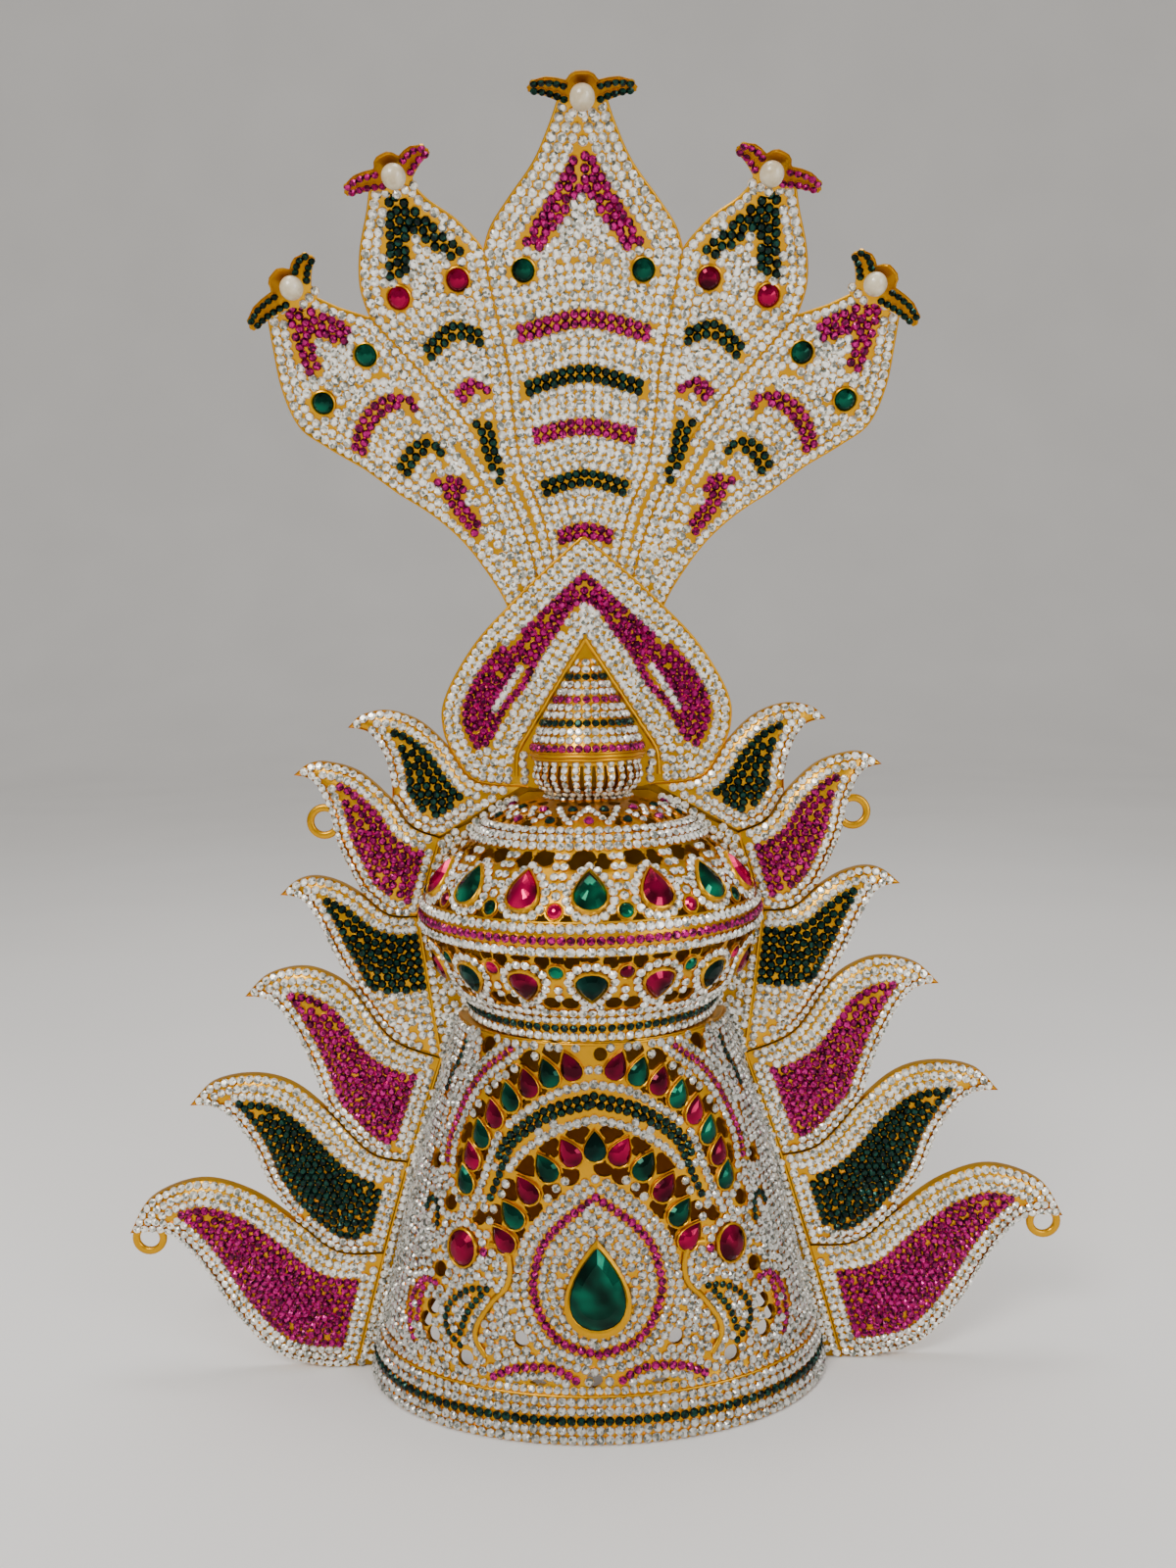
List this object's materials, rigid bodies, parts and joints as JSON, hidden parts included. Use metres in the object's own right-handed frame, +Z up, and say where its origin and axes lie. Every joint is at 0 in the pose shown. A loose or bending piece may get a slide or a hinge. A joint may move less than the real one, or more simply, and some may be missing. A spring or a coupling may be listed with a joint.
{
  "type": "deity crown",
  "caption": "Tall half-round deity crown with flame wings, a pierced drum and dome and a forward-leaning cobra hood, set with glass stones and pearls.",
  "frame": {"origin": "middle of the crown's whole footprint, on the surface that the foot band stands on", "axes": "+Z up, +X to the viewer's right, front of the drum towards -Y"},
  "size_m": [0.3344, 0.0708, 0.4145],
  "materials": {
    "gold": "polished gold-coloured plating",
    "red_stone": "foil-backed cut glass",
    "green_stone": "foil-backed cut glass",
    "pearl": "pearl lustre"
  },
  "bodies": {
    "root": {"arch_drop_left_1": "red_stone", "arch_drop_left_2": "green_stone", "arch_drop_left_3": "red_stone", "arch_drop_left_4": "green_stone", "arch_drop_left_5": "red_stone", "arch_drop_right_1": "red_stone", "arch_drop_right_2": "green_stone", "arch_drop_right_3": "red_stone", "arch_drop_right_4": "green_stone", "arch_drop_right_5": "red_stone", "arch_drop_top": "green_stone", "back_plate": "gold", "centre_drop": "green_stone", "crest_centre": "gold", "crest_inner_left": "gold", "crest_inner_right": "gold", "crest_outer_left": "gold", "crest_outer_right": "gold", "dome": "gold", "dome_lower_drop_1": "red_stone", "dome_lower_drop_2": "green_stone", "dome_lower_drop_3": "red_stone", "dome_lower_drop_4": "green_stone", "dome_lower_drop_5": "red_stone", "dome_lower_drop_6": "green_stone", "dome_lower_drop_7": "red_stone", "dome_upper_drop_1": "red_stone", "dome_upper_drop_2": "green_stone", "dome_upper_drop_3": "red_stone", "dome_upper_drop_4": "green_stone", "dome_upper_drop_5": "red_stone", "dome_upper_drop_6": "green_stone", "dome_upper_drop_7": "red_stone", "drum": "gold", "finial_cone": "gold", "finial_cup": "gold", "flame_left_1": "gold", "flame_left_2": "gold", "flame_left_3": "gold", "flame_left_4": "gold", "flame_left_5": "gold", "flame_left_6": "gold", "flame_right_1": "gold", "flame_right_2": "gold", "flame_right_3": "gold", "flame_right_4": "gold", "flame_right_5": "gold", "flame_right_6": "gold", "naga_hood": "gold", "pearl_centre": "pearl", "pearl_inner_left": "pearl", "pearl_inner_right": "pearl", "pearl_outer_left": "pearl", "pearl_outer_right": "pearl", "shield": "gold", "side_stone_left": "red_stone", "side_stone_right": "red_stone"}
  },
  "joints": []
}
